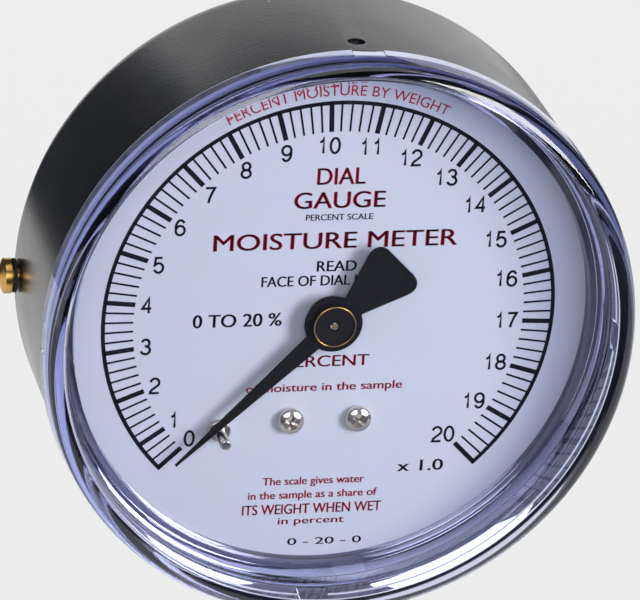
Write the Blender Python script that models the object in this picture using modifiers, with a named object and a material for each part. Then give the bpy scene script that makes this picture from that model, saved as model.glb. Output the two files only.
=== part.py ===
"""Dial gauge of a carbide moisture tester: a Bourdon-tube gauge with a centre-back stem.

The dial faces -Y, the stem points to +Y and the figure 10 of the scale is up, +Z.
The origin is on the stem's axis, on the rear face of its sealing washer.
Lengths below are millimetres. Heights along the axis are measured from the dial's face,
positive towards the reader, and angles run clockwise from the top as the dial is read.
"""

import math

import bmesh
import bpy
from mathutils import Matrix, Vector

MM = 0.001
GAP = 0.3

# case, a pressed can whose front edge turns in to a narrow shoulder under the window's rim
CASE_R = 50.1
CASE_WALL = 1.0
CASE_CORNER = 7.0
CASE_DEPTH = 29.8
OPENING_R = 47.9
SHOULDER_TOP = 6.9
SHOULDER_EDGE = 0.6
BORE_R = 8.4
LOCATING_ANGLE = 1.3
LOCATING_DEPTH = -1.9  # the hole lies just in front of the dial's plane
LOCATING_HOLE_R = 1.5
SIDE_HOLE_R = 2.4
BACK_SCREW_HOLE_R = 2.1

# the seat of the stem, behind the dial's face
SEAT_DEPTH = 44.8

# window: one moulding with a pane, a thick rim and a skirt that reaches down to the dial
LENS_TOP = 14.6
LENS_REAR = 7.2
LENS_R = 50.2
LENS_REAR_R = 50.8
LENS_ROUND = 2.9
PANE = 2.5
SKIRT_IN_R = 44.55
SKIRT_STEP_TOP = 4.0
SKIRT_SLOPE_R = 46.2
SKIRT_SLOPE_TOP = 5.5
PANE_CORNER_R = 47.6
CLIP_ANGLES = (2, 92, 182, 272)
CLIP_SIZE = (5.4, 0.8, 3.4)
CLIP_HEIGHT = LENS_REAR + 1.2
SEAL_R = (47.9, 48.8)
SEAL_T = 1.4

# dial and what stands on it
DIAL_R = 46.0
DIAL_T = 0.8
DIAL_SCREW_X = 5.9
DIAL_SCREW_Z = -18.7
DIAL_SCREW_R = 2.3
DIAL_SCREW_SHANK_R = 1.1
DIAL_BORE_R = 4.0
STOP_ANGLE = -137.8
STOP_R = 27.1
STOP_TOP = 6.7

# pointer
REST_ANGLE = -134.4
POINTER_TOP = 3.0
POINTER_T = 0.5
POINTER_TIP_R = 36.2
POINTER_TIP_HALF = 0.16
POINTER_ROOT_HALF = 1.5
HUB_R = 5.0
CAP_R = 3.7
CAP_TOP = 4.1

# movement
FRONT_PLATE_TOP = -5.0
BACK_PLATE_TOP = -13.5
PLATE_T = 1.2
GEAR_MODULE = 0.5
PINION_TEETH = 10
SECTOR_TEETH = 80
BACKLASH = 0.16
SECTOR_ANGLE = 135
SECTOR_TOP = -10.0
SECTOR_T = 1.4
LEVER_R = 8.0
LEVER_ANGLE = 150
PILLARS = ((-11.5, -20.0), (-12.0, 9.0), (18.0, 9.0))
MOVEMENT_SCREWS = ((-7.5, -5.0), (7.0, 6.5))

# elastic tube, its end piece and the link down to the sector
TUBE_R = 38.0
TUBE_WIDE = 13.0
TUBE_THICK = 4.4
TUBE_WALL = 0.5
TUBE_MID = -21.8
TIP_HALF = 6.7
TUBE_FROM = 204.0
TUBE_TO = 444.0
LUG_ANGLE = 100
LUG_R = 33.0
LINK_TOP = -11.7
LINK_T = 0.7

# socket and stem
BOSS_R = 12.0
FLANGE_R = 18.0
ARM_ANGLE = 195
HEX_FLATS = 17.0
THREAD_R = 6.58
THREAD_LENGTH = 12.0
INLET_R = 2.0
BACK_SCREW_R = 14.0
BACK_SCREW_ANGLES = (15, 135, 255)

# screw through the left of the case
SIDE_DEPTH = 21.0
SIDE_HEAD_R = 3.1

for old in list(bpy.data.objects):
    bpy.data.objects.remove(old, do_unlink=True)

PARTS = bpy.data.collections.new("moisture_meter")
CUTTERS = bpy.data.collections.new("cutters")
CUTTERS.hide_render = True
bpy.context.scene.collection.children.link(PARTS)
bpy.context.scene.collection.children.link(CUTTERS)


def polar(radius, angle):
    """Point of the dial's plane at a radius and an angle clockwise from the top."""
    turn = math.radians(angle)
    return radius * math.sin(turn), radius * math.cos(turn)


def finish(name, colour, roughness, metallic):
    mat = bpy.data.materials.new(name)
    mat.use_nodes = True
    shader = mat.node_tree.nodes["Principled BSDF"]
    shader.inputs["Base Color"].default_value = (*colour, 1.0)
    shader.inputs["Roughness"].default_value = roughness
    shader.inputs["Metallic"].default_value = metallic
    return mat


BLACK_PAINT = finish("black_paint", (0.012, 0.013, 0.015), 0.32, 0.0)
BLACK_MATT = finish("black_matt", (0.012, 0.012, 0.014), 0.55, 0.0)
CLEAR = finish("clear_plastic", (0.80, 0.83, 0.95), 0.05, 0.0)
RUBBER = finish("rubber", (0.02, 0.02, 0.02), 0.8, 0.0)
WHITE = finish("dial_white", (0.78, 0.80, 0.83), 0.4, 0.0)
BRASS = finish("brass", (0.72, 0.50, 0.22), 0.3, 1.0)
NICKEL = finish("nickel", (0.70, 0.68, 0.64), 0.25, 1.0)
STEEL = finish("steel", (0.55, 0.56, 0.57), 0.35, 1.0)
BRONZE = finish("bronze", (0.56, 0.36, 0.20), 0.35, 1.0)
FIBRE = finish("fibre", (0.42, 0.12, 0.07), 0.7, 0.0)


def place(obj, x=0.0, z=0.0, mat=None, cutter=False):
    """Stands an object made along local +Z on the dial, facing the reader."""
    obj.rotation_euler = (math.radians(90), 0, 0)
    obj.location = (x * MM, -SEAT_DEPTH * MM, z * MM)
    if mat:
        obj.data.materials.append(mat)
    if cutter:
        obj.hide_render = True
        obj.display_type = "WIRE"
        CUTTERS.objects.link(obj)
    else:
        PARTS.objects.link(obj)
    return obj


def smooth(obj, degrees=35):
    obj.data.shade_smooth()
    obj.data.set_sharp_from_angle(angle=math.radians(degrees))


def arc(cx, cy, radius, start, end, steps):
    """Points on an arc, with angles counted anticlockwise from the first axis."""
    turns = [math.radians(start + (end - start) * i / steps) for i in range(steps + 1)]
    return [(cx + radius * math.cos(t), cy + radius * math.sin(t)) for t in turns]


def turned(name, profile, mat=None, x=0.0, z=0.0, steps=24, closed=False, cutter=False):
    """Turned piece: profile of (radius, height), front to back down its outer side."""
    mesh = bpy.data.meshes.new(name)
    points = [(r * MM, 0, h * MM) for r, h in profile]
    edges = [(i, i + 1) for i in range(len(points) - 1)]
    if closed:
        edges.append((len(points) - 1, 0))
    mesh.from_pydata(points, edges, [])
    obj = place(bpy.data.objects.new(name, mesh), x, z, mat, cutter)
    screw = obj.modifiers.new("turn", "SCREW")
    screw.axis = "Z"
    screw.steps = steps
    screw.render_steps = steps
    screw.use_merge_vertices = True
    screw.merge_threshold = 0.000001
    screw.use_smooth_shade = True
    return obj


def rod(name, radius, top, bottom, mat=None, x=0.0, z=0.0, steps=16, cutter=False):
    return turned(name, [(0, top), (radius, top), (radius, bottom), (0, bottom)], mat, x, z, steps,
                  cutter=cutter)


def ring(name, inner, outer, top, bottom, mat=None, x=0.0, z=0.0, steps=24):
    profile = [(inner, top), (outer, top), (outer, bottom), (inner, bottom)]
    return turned(name, profile, mat, x, z, steps, closed=True)


def sheet(name, outlines, top, thickness, mat=None, x=0.0, z=0.0, cutter=False):
    """Flat piece from closed outlines: the first is its edge and the others are holes."""
    curve = bpy.data.curves.new(name, "CURVE")
    curve.dimensions = "2D"
    curve.fill_mode = "BOTH"
    curve.extrude = 0.5 * thickness * MM
    for outline in outlines:
        spline = curve.splines.new("POLY")
        spline.points.add(len(outline) - 1)
        for point, (px, pz) in zip(spline.points, outline):
            point.co = (px * MM, pz * MM, 0, 1)
        spline.use_cyclic_u = True
    obj = place(bpy.data.objects.new(name, curve), x, z, mat, cutter)
    obj.location.y -= (top - 0.5 * thickness) * MM
    return obj


def as_mesh(obj):
    """The object as a plain mesh in the same place, with its caps welded on."""
    bpy.context.view_layer.update()
    graph = bpy.context.evaluated_depsgraph_get()
    mesh = bpy.data.meshes.new_from_object(obj.evaluated_get(graph))
    work = bmesh.new()
    work.from_mesh(mesh)
    bmesh.ops.remove_doubles(work, verts=work.verts, dist=0.000001)
    bmesh.ops.recalc_face_normals(work, faces=work.faces)
    work.to_mesh(mesh)
    work.free()
    name = obj.name
    home = obj.users_collection[0]
    made = bpy.data.objects.new(name + "_mesh", mesh)
    made.matrix_world = obj.matrix_world.copy()
    made.hide_render = obj.hide_render
    made.display_type = obj.display_type
    home.objects.link(made)
    bpy.data.objects.remove(obj, do_unlink=True)
    made.name = name
    return made


def combine(obj, other, operation):
    boolean = obj.modifiers.new(operation.lower(), "BOOLEAN")
    boolean.operation = operation
    boolean.solver = "EXACT"
    boolean.object = other
    return obj


def drill(obj, radius, top, bottom, x=0.0, z=0.0, steps=20):
    cutter = rod(obj.name + "_drill", radius, top, bottom, None, x, z, steps, cutter=True)
    return combine(obj, cutter, "DIFFERENCE")


def box_cutter(name, size, centre, turn=0.0):
    """Box as wide, high and deep as size, at (x, z, height), turned clockwise."""
    bpy.ops.mesh.primitive_cube_add(size=1.0)
    obj = bpy.context.object
    obj.name = name
    for home in list(obj.users_collection):
        home.objects.unlink(obj)
    obj.data.transform(Matrix.Diagonal((size[0] * MM, size[1] * MM, size[2] * MM, 1.0)))
    obj.data.transform(Matrix.Rotation(-math.radians(turn), 4, "Z"))
    obj.data.transform(Matrix.Translation(Vector((0, 0, centre[2] * MM))))
    return place(obj, centre[0], centre[1], None, cutter=True)


def circle(radius, cx=0.0, cz=0.0, steps=24):
    return arc(cx, cz, radius, 0, 360, steps)[:-1]


# case and window

case_profile = [
    (OPENING_R, SHOULDER_TOP),
    (CASE_R - SHOULDER_EDGE, SHOULDER_TOP),
    (CASE_R, SHOULDER_TOP - SHOULDER_EDGE),
]
case_profile += arc(CASE_R - CASE_CORNER, CASE_CORNER - CASE_DEPTH, CASE_CORNER, 0, -90, 6)
case_profile += [(BORE_R, -CASE_DEPTH)]
case = turned("case", case_profile, BLACK_PAINT, steps=64)
wall = case.modifiers.new("wall", "SOLIDIFY")
wall.thickness = CASE_WALL * MM
wall.offset = -1.0
wall.use_even_offset = True
for angle in BACK_SCREW_ANGLES:
    drill(case, BACK_SCREW_HOLE_R, 2 - CASE_DEPTH, -2 - CASE_DEPTH, *polar(BACK_SCREW_R, angle))


def through_wall(name, radius, angle, depth):
    """Cutter across the case's side wall, at an angle and a depth behind the dial's face."""
    cutter = rod(name, radius, CASE_R + 5, CASE_R - 5, steps=20, cutter=True)
    cutter.rotation_euler = (0, math.radians(angle), 0)
    cutter.location.y = (depth - SEAT_DEPTH) * MM
    return combine(case, cutter, "DIFFERENCE")


through_wall("case_locating_hole", LOCATING_HOLE_R, LOCATING_ANGLE, LOCATING_DEPTH)
through_wall("case_side_hole", SIDE_HOLE_R, -90, SIDE_DEPTH)

lens_profile = [(0, LENS_TOP)]
lens_profile += arc(LENS_R - LENS_ROUND, LENS_TOP - LENS_ROUND, LENS_ROUND, 90, 0, 6)
lens_profile += [
    (LENS_REAR_R, LENS_REAR),
    (OPENING_R - GAP, LENS_REAR),
    (OPENING_R - GAP, GAP),
    (SKIRT_IN_R, GAP),
    (SKIRT_IN_R, SKIRT_STEP_TOP),
    (SKIRT_SLOPE_R, SKIRT_SLOPE_TOP),
    (PANE_CORNER_R, LENS_TOP - PANE),
    (0, LENS_TOP - PANE),
]
lens = turned("lens", lens_profile, CLEAR, steps=64)
for angle in CLIP_ANGLES:
    clip_x, clip_z = polar(LENS_REAR_R, angle)
    notch = box_cutter("lens_clip_notch", CLIP_SIZE, (clip_x, clip_z, CLIP_HEIGHT), angle)
    combine(lens, notch, "DIFFERENCE")

seal_top = SHOULDER_TOP - CASE_WALL - GAP
ring("lens_seal", *SEAL_R, seal_top, seal_top - SEAL_T, RUBBER, steps=40)

# dial, its screws and the stop pin

dial_holes = [circle(DIAL_BORE_R), circle(1.5, DIAL_SCREW_X, DIAL_SCREW_Z, 16)]
dial_holes += [circle(1.5, -DIAL_SCREW_X, DIAL_SCREW_Z, 16), circle(1.25, *polar(STOP_R, STOP_ANGLE), 16)]
sheet("dial", [circle(DIAL_R, steps=64)] + dial_holes, 0.0, DIAL_T, WHITE)

for side, screw_x in (("left", -DIAL_SCREW_X), ("right", DIAL_SCREW_X)):
    screw_profile = [(0, 2.0), (1.3, 1.95), (1.95, 1.5), (DIAL_SCREW_R, 0.9), (DIAL_SCREW_R, GAP),
                     (DIAL_SCREW_SHANK_R, GAP), (DIAL_SCREW_SHANK_R, -6.1), (0, -6.1)]
    dial_screw = turned("dial_screw_" + side, screw_profile, NICKEL, screw_x, DIAL_SCREW_Z, 20)
    for turn in (20, 110):
        recess = box_cutter("recess", (2.4, 0.5, 1.6), (screw_x, DIAL_SCREW_Z, 2.0), turn)
        combine(dial_screw, recess, "DIFFERENCE")
    ring("dial_post_" + side, 1.4, 2.6, -DIAL_T - GAP, FRONT_PLATE_TOP + GAP, BRASS,
         screw_x, DIAL_SCREW_Z, 20)

stop_profile = [(0, STOP_TOP), (0.7, STOP_TOP), (0.95, STOP_TOP - 0.3), (0.95, 1.2), (2.0, 1.2), (2.0, GAP),
                (0.95, GAP), (0.95, -1.9), (0, -1.9)]
turned("stop_pin", stop_profile, NICKEL, *polar(STOP_R, STOP_ANGLE), 20)

# pointer and its hub


def pointer_outline():
    """Edge of the pointer: the arm lies along +X and the spade-shaped tail along -X."""
    side = [(POINTER_TIP_R, POINTER_TIP_HALF), (HUB_R + 1.0, POINTER_ROOT_HALF)]
    side += arc(0, 0, HUB_R, 20, 152, 10)
    side += [(-9.5, 3.4), (-13.0, 5.3)]
    side += arc(-13.6, 3.9, 1.6, 110, 180, 4)
    side += [(-15.6, 1.6)]
    return side + [(px, -pz) for px, pz in reversed(side)]


pointer = sheet("pointer", [pointer_outline(), circle(2.3, steps=20)], 0, POINTER_T, BLACK_MATT)
pointer.rotation_euler = (math.radians(90), math.radians(REST_ANGLE - 90), 0)
pointer.location.y = (-SEAT_DEPTH - POINTER_TOP + 0.5 * POINTER_T) * MM

hub_profile = [(1.1, CAP_TOP - 0.35), (1.7, CAP_TOP - 0.3), (2.9, CAP_TOP - 0.3), (3.2, CAP_TOP),
               (CAP_R - 0.2, CAP_TOP), (CAP_R, CAP_TOP - 0.2), (CAP_R, POINTER_TOP + GAP),
               (2.0, POINTER_TOP + GAP), (2.0, 0.8), (1.1, 0.8)]
turned("pointer_hub", hub_profile, BLACK_MATT, steps=32, closed=True)

# movement: two plates on pillars


def plate_outline():
    """Rounded plate that carries the pointer's arbor, the sector's arbor and the dial's posts."""
    corner = 4.0
    left, right, low, high = -16.5, 22.5, -25.0, 13.5
    edge = arc(right - corner, high - corner, corner, 0, 90, 4)
    edge += arc(left + corner, high - corner, corner, 90, 180, 4)
    edge += arc(left + corner, low + corner, corner, 180, 270, 4)
    edge += arc(right - 12.5, low + corner, corner, 270, 310, 3)
    edge += [(right, -14.0)]
    return edge


SECTOR_DISTANCE = 0.5 * GEAR_MODULE * (PINION_TEETH + SECTOR_TEETH)
sector_x, sector_z = polar(SECTOR_DISTANCE, SECTOR_ANGLE)

front_holes = [circle(1.3, steps=16), circle(1.1, sector_x, sector_z, 16)]
front_holes += [circle(1.4, DIAL_SCREW_X, DIAL_SCREW_Z, 16), circle(1.4, -DIAL_SCREW_X, DIAL_SCREW_Z, 16)]
front_holes += [circle(1.2, px, pz, 16) for px, pz in PILLARS]
sheet("front_plate", [plate_outline()] + front_holes, FRONT_PLATE_TOP, PLATE_T, BRASS)

back_holes = [circle(1.0, steps=16), circle(1.1, sector_x, sector_z, 16)]
back_holes += [circle(1.5, px, pz, 16) for px, pz in MOVEMENT_SCREWS]
sheet("back_plate", [plate_outline()] + back_holes, BACK_PLATE_TOP, PLATE_T, BRASS)

pillar_top = FRONT_PLATE_TOP - PLATE_T - GAP
pillar_foot = BACK_PLATE_TOP + GAP
for index, (px, pz) in enumerate(PILLARS, 1):
    bore_foot = pillar_top - 3.4
    pillar_profile = [(0, bore_foot), (1.2, bore_foot), (1.2, pillar_top), (2.2, pillar_top),
                      (2.2, pillar_top - 1.4), (1.7, pillar_top - 1.8), (1.7, pillar_foot + 1.8),
                      (2.2, pillar_foot + 1.4), (2.2, pillar_foot), (0, pillar_foot)]
    turned("pillar_%d" % index, pillar_profile, BRASS, px, pz, 16)
    head = FRONT_PLATE_TOP + GAP
    screw_profile = [(0, head + 1.1), (1.4, head + 1.1), (1.9, head + 0.6), (1.9, head), (0.9, head),
                     (0.9, pillar_top - 3.0), (0, pillar_top - 3.0)]
    plate_screw = turned("plate_screw_%d" % index, screw_profile, NICKEL, px, pz, 16)
    slot = box_cutter("slot", (5.0, 0.5, 1.0), (px, pz, head + 1.1), 30 * index)
    combine(plate_screw, slot, "DIFFERENCE")

for index, (px, pz) in enumerate(MOVEMENT_SCREWS, 1):
    head = BACK_PLATE_TOP + GAP
    screw_profile = [(0, head + 1.2), (1.8, head + 1.2), (2.3, head + 0.7), (2.3, head), (1.2, head),
                     (1.2, head - 5.0), (0, head - 5.0)]
    movement_screw = turned("movement_screw_%d" % index, screw_profile, STEEL, px, pz, 16)
    slot = box_cutter("slot", (6.0, 0.6, 1.0), (px, pz, head + 1.2), 50 * index)
    combine(movement_screw, slot, "DIFFERENCE")

# gear pair: involute teeth on the pinion and the sector, in mesh along the line of centres


def tooth_half_angle(radius, teeth, pressure=math.radians(20)):
    """Half the angle that a tooth fills at a radius, from the involute."""
    pitch = 0.5 * GEAR_MODULE * teeth
    base = pitch * math.cos(pressure)
    tilt = math.acos(min(1.0, base / radius))
    grow = (math.tan(pressure) - pressure) - (math.tan(tilt) - tilt)
    return 0.5 * math.pi / teeth - 0.25 * BACKLASH / pitch + grow


def tooth(teeth, centre_angle):
    """Points of one tooth, clockwise, about the gear's centre."""
    pitch = 0.5 * GEAR_MODULE * teeth
    root = pitch - 1.3 * GEAR_MODULE
    radii = [max(root, 0.94 * pitch), pitch, pitch + 0.4 * GEAR_MODULE, pitch + 0.8 * GEAR_MODULE]
    if teeth > 40:
        radii = [root, pitch, pitch + 0.8 * GEAR_MODULE]
    rising = [polar(r, centre_angle - math.degrees(tooth_half_angle(r, teeth))) for r in radii]
    falling = [polar(r, centre_angle + math.degrees(tooth_half_angle(r, teeth))) for r in reversed(radii)]
    low = math.degrees(tooth_half_angle(max(root, 0.94 * pitch), teeth))
    if teeth > 40:
        return rising + falling
    return [polar(root, centre_angle - low)] + rising + falling + [polar(root, centre_angle + low)]


pinion_pitch = 360 / PINION_TEETH
pinion_outline = []
for index in range(PINION_TEETH):
    pinion_outline += tooth(PINION_TEETH, SECTOR_ANGLE + pinion_pitch * (index + 0.5))
pinion_teeth = as_mesh(sheet("pinion_teeth", [pinion_outline], -9.6, 2.2, None, cutter=True))

arbor_profile = [(0, CAP_TOP - 0.1), (0.55, CAP_TOP - 0.1), (0.75, CAP_TOP - 0.3), (0.75, 0.4), (1.0, 0.4),
                 (1.0, -12.9), (0.7, -12.9), (0.7, -14.5), (0, -14.5)]
arbor = turned("pinion_arbor", arbor_profile, BRASS, steps=20)
combine(arbor, pinion_teeth, "UNION")

ring("hairspring_collet", 1.3, 2.3, -7.0, -8.9, BRASS, steps=20)
stud_x, stud_z = polar(9.4, 305)
rod("hairspring_stud", 0.7, FRONT_PLATE_TOP - PLATE_T - GAP, -9.2, BRASS, stud_x, stud_z, 12)

SPRING_TURNS = 4.68
spring_points = []
for index in range(96):
    share = index / 95
    spring_points.append(polar(2.7 + 5.9 * share, 60 + 360 * SPRING_TURNS * share))
spring = sheet("hairspring", [spring_points], 0, 0.9, BRONZE)
spring.data.fill_mode = "NONE"
spring.data.splines[0].use_cyclic_u = False
spring.location.y = (8.0 - SEAT_DEPTH) * MM
strip = spring.modifiers.new("strip", "SOLIDIFY")
strip.thickness = 0.18 * MM
strip.offset = 0.0

sector_tooth = 360 / SECTOR_TEETH
towards_pinion = SECTOR_ANGLE + 180
outline = []
for index in range(-1, 10):
    outline += tooth(SECTOR_TEETH, towards_pinion + sector_tooth * index)
rim = 0.5 * GEAR_MODULE * SECTOR_TEETH - 1.3 * GEAR_MODULE
last = towards_pinion + sector_tooth * 9.5
first = towards_pinion - sector_tooth * 1.5
outline += [polar(rim, last), polar(rim - 3.0, last), polar(5.0, last + 22), polar(3.2, last + 60)]
outline += [polar(3.0, LEVER_ANGLE - 50), polar(LEVER_R, LEVER_ANGLE - 16)]
outline += [polar(LEVER_R + 2.0, LEVER_ANGLE - 9), polar(LEVER_R + 2.2, LEVER_ANGLE)]
outline += [polar(LEVER_R + 2.0, LEVER_ANGLE + 9), polar(LEVER_R, LEVER_ANGLE + 16)]
outline += [polar(3.0, LEVER_ANGLE + 50), polar(3.2, first - 60), polar(5.0, first - 22)]
outline += [polar(rim - 3.0, first), polar(rim, first)]
lever_x, lever_z = polar(LEVER_R, LEVER_ANGLE)
window = [polar(rim - 3.2, last - 7), polar(rim - 3.2, last - 20), polar(rim - 3.2, last - 33)]
window += [polar(6.5, first + 18), polar(5.8, 0.5 * (first + last)), polar(6.5, last - 14)]
sheet("sector_gear", [outline, circle(1.6, steps=16), circle(0.9, lever_x, lever_z, 12), window],
      SECTOR_TOP, SECTOR_T, BRASS, sector_x, sector_z)
turned("sector_arbor", [(0, -4.8), (0.8, -4.8), (0.8, -6.5), (1.3, -6.5), (1.3, -13.2), (0.8, -13.2),
                        (0.8, -14.9), (0, -14.9)], STEEL, sector_x, sector_z, 16)

# link from the sector's lever to the tube's end piece

lever_x += sector_x
lever_z += sector_z
lug_x, lug_z = polar(LUG_R, LUG_ANGLE)
span = math.hypot(lug_x - lever_x, lug_z - lever_z)
link_turn = math.degrees(math.atan2(lug_x - lever_x, lug_z - lever_z))
link_outline = arc(0, 0, 1.8, 140, 400, 8) + arc(0, span, 2.0, -30, 210, 8)
link = sheet("link", [link_outline, circle(0.9, steps=12), circle(1.35, 0, span, 14)], 0, LINK_T, STEEL)
link.rotation_euler = (math.radians(90), math.radians(link_turn), 0)
link.location = (lever_x * MM, (-SEAT_DEPTH - LINK_TOP + 0.5 * LINK_T) * MM, lever_z * MM)
pin_foot = LINK_TOP - LINK_T - GAP
turned("link_pin_sector", [(0, SECTOR_TOP + 0.9), (1.3, SECTOR_TOP + 0.9), (1.3, SECTOR_TOP + GAP),
                           (0.6, SECTOR_TOP + GAP), (0.6, pin_foot), (1.3, pin_foot),
                           (1.3, pin_foot - 0.5), (0, pin_foot - 0.5)], STEEL, lever_x, lever_z, 14)
turned("link_pin_tip", [(0, LINK_TOP + 0.9), (1.9, LINK_TOP + 0.9), (1.9, LINK_TOP + GAP),
                        (0.6, LINK_TOP + GAP), (0.6, -14.6), (0, -14.6)], STEEL, lug_x, lug_z, 14)

# elastic tube and its end piece


def oval(wide, thick, steps=12):
    """Flattened section of the tube: wide along the gauge's axis, thin across the bend."""
    points = []
    for i in range(steps):
        turn = 2 * math.pi * i / steps
        points.append((0.5 * thick * math.cos(turn), 0.5 * wide * math.sin(turn)))
    return points


section = bpy.data.curves.new("tube_section", "CURVE")
section.dimensions = "2D"
section_spline = section.splines.new("POLY")
section_points = oval(TUBE_WIDE, TUBE_THICK)
section_spline.points.add(len(section_points) - 1)
for point, (px, pz) in zip(section_spline.points, section_points):
    point.co = (px * MM, pz * MM, 0, 1)
section_spline.use_cyclic_u = True
section_guide = bpy.data.objects.new("tube_section", section)
section_guide.hide_render = True
section_guide.display_type = "WIRE"
CUTTERS.objects.link(section_guide)

tube_curve = bpy.data.curves.new("bourdon_tube", "CURVE")
tube_curve.dimensions = "3D"
tube_curve.twist_mode = "Z_UP"
tube_curve.bevel_mode = "OBJECT"
tube_curve.bevel_object = section_guide
tube_spline = tube_curve.splines.new("POLY")
TUBE_STEPS = 28
tube_spline.points.add(TUBE_STEPS)
for index, point in enumerate(tube_spline.points):
    px, pz = polar(TUBE_R, TUBE_FROM + (TUBE_TO - TUBE_FROM) * index / TUBE_STEPS)
    point.co = (px * MM, pz * MM, TUBE_MID * MM, 1)
tube_object = place(bpy.data.objects.new("bourdon_tube", tube_curve), mat=BRONZE)
tube = as_mesh(tube_object)
work = bmesh.new()
work.from_mesh(tube.data)
end_x, end_z = polar(TUBE_R, TUBE_TO)
tip = Vector((end_x * MM, end_z * MM, TUBE_MID * MM))
open_edges = [e for e in work.edges if e.is_boundary and (e.verts[0].co - tip).length < 10 * MM]
bmesh.ops.edgeloop_fill(work, edges=open_edges)
bmesh.ops.recalc_face_normals(work, faces=work.faces)
work.to_mesh(tube.data)
work.free()
tube_wall = tube.modifiers.new("wall", "SOLIDIFY")
tube_wall.thickness = TUBE_WALL * MM
tube_wall.offset = -1.0
smooth(tube, 50)

end_piece = arc(0, 0, TUBE_R + 3.4, 90 - 85.0, 90 - 99.0, 4) + arc(0, 0, TUBE_R - 3.4, 90 - 99.0, 90 - 85.0, 4)
tube_tip = as_mesh(sheet("tube_tip", [end_piece], TUBE_MID + TIP_HALF, 2 * TIP_HALF, BRASS))
lug_outline = [polar(TUBE_R + 2.0, 92), polar(TUBE_R + 2.0, 98.6), polar(LUG_R + 1.0, LUG_ANGLE + 3.8)]
lug_outline += [polar(LUG_R - 1.4, LUG_ANGLE + 3.4), polar(LUG_R - 2.4, LUG_ANGLE)]
lug_outline += [polar(LUG_R - 1.6, LUG_ANGLE - 4.5), polar(LUG_R + 1.6, LUG_ANGLE - 7.5)]
lug_hole = circle(0.9, lug_x, lug_z, 12)
lug = as_mesh(sheet("tube_tip_lug", [lug_outline, lug_hole], LINK_TOP - LINK_T - GAP, 2.6, cutter=True))
combine(tube_tip, lug, "UNION")

# socket: boss, flange, arm to the tube's root, hexagon and threaded stem

seat = -SEAT_DEPTH
hex_top = -33.0
hex_foot = seat + 1.5 + GAP
boss_profile = [
    (0, BACK_PLATE_TOP - PLATE_T - GAP),
    (BOSS_R, BACK_PLATE_TOP - PLATE_T - GAP),
    (BOSS_R, -24.5),
    (FLANGE_R, -24.5),
    (FLANGE_R, CASE_WALL - CASE_DEPTH + GAP),
    (8.0, CASE_WALL - CASE_DEPTH + GAP),
    (8.0, hex_top - 3.0),
    (0, hex_top - 3.0),
]
socket = turned("socket", boss_profile, BRASS, steps=48)
arm_reach = TUBE_R + 5.0
arm = box_cutter("socket_arm", (10.4, arm_reach - 4.0, 13.4), (0, 0, 0))
arm_x, arm_z = polar(0.5 * (arm_reach + 4.0), ARM_ANGLE)
arm.rotation_euler = (math.radians(90), math.radians(ARM_ANGLE), 0)
arm.location = (arm_x * MM, (seat - TUBE_MID) * MM, arm_z * MM)
combine(socket, arm, "UNION")
hex_outline = [polar(0.5 * HEX_FLATS / math.cos(math.radians(30)), 60 * i) for i in range(6)]
hexagon = as_mesh(sheet("socket_hexagon", [hex_outline], hex_top, hex_top - hex_foot, cutter=True))
hex_bevel = hexagon.modifiers.new("soften", "BEVEL")
hex_bevel.width = 0.4 * MM
hex_bevel.segments = 1
hex_bevel.limit_method = "ANGLE"
combine(socket, hexagon, "UNION")
thread_foot = seat - THREAD_LENGTH
stem = turned("socket_thread", [(0, hex_foot + 1.0), (THREAD_R - 1.0, hex_foot + 1.0),
                                (THREAD_R - 1.0, seat - 0.4), (THREAD_R, seat - 1.2),
                                (THREAD_R, thread_foot + 1.0), (THREAD_R - 1.0, thread_foot),
                                (0, thread_foot)], steps=32, cutter=True)
combine(socket, stem, "UNION")
drill(socket, INLET_R, hex_top, thread_foot - 2, steps=16)
for angle in BACK_SCREW_ANGLES:
    drill(socket, 2.1, -23, -31, *polar(BACK_SCREW_R, angle), 16)
for px, pz in MOVEMENT_SCREWS:
    drill(socket, 1.5, -13, -19, px, pz, 16)

ring("restrictor", 0.4, INLET_R - GAP, hex_top - 1.5, hex_top - 5.5, STEEL, steps=16)
ring("stem_washer", THREAD_R + GAP, 0.5 * HEX_FLATS + 1.2, seat + 1.5, seat, FIBRE, steps=40)

for index, angle in enumerate(BACK_SCREW_ANGLES, 1):
    head = -CASE_DEPTH - GAP
    px, pz = polar(BACK_SCREW_R, angle)
    back_profile = [(0, -25.5), (1.7, -25.5), (1.7, head), (3.3, head), (3.3, head - 0.9),
                    (2.6, head - 1.8), (0, head - 2.0)]
    back_screw = turned("back_screw_%d" % index, back_profile, STEEL, px, pz, 20)
    slot = box_cutter("slot", (8.0, 0.8, 2.2), (px, pz, head - 2.0), angle)
    combine(back_screw, slot, "DIFFERENCE")

# screw, washer and nut through the left of the case, turned about the X axis


def on_side(obj):
    obj.rotation_euler = (0, math.radians(-90), 0)
    obj.location = (0, (SIDE_DEPTH - SEAT_DEPTH) * MM, 0)
    return obj


head_seat = CASE_R + 1.0
side_profile = [(0, head_seat + 2.6), (0.5, head_seat + 2.5), (SIDE_HEAD_R - 0.1, head_seat + 1.4),
                (SIDE_HEAD_R, head_seat + 1.3), (SIDE_HEAD_R, head_seat), (2.0, head_seat), (2.0, 45.6), (0, 45.6)]
on_side(turned("side_screw", side_profile, BRASS, steps=28))
on_side(ring("side_washer", 2.3, 2.95, head_seat - GAP, head_seat - 0.8, RUBBER, steps=28))
nut_outline = [polar(3.5 / math.cos(math.radians(30)), 60 * i) for i in range(6)]
nut = on_side(sheet("side_nut", [nut_outline, circle(2.3, steps=20)], 0, 2.6, STEEL))
nut.location.x = -47.2 * MM
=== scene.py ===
import math

import bmesh
import bpy
import numpy as np
from mathutils import Euler, Matrix, Vector


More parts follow.
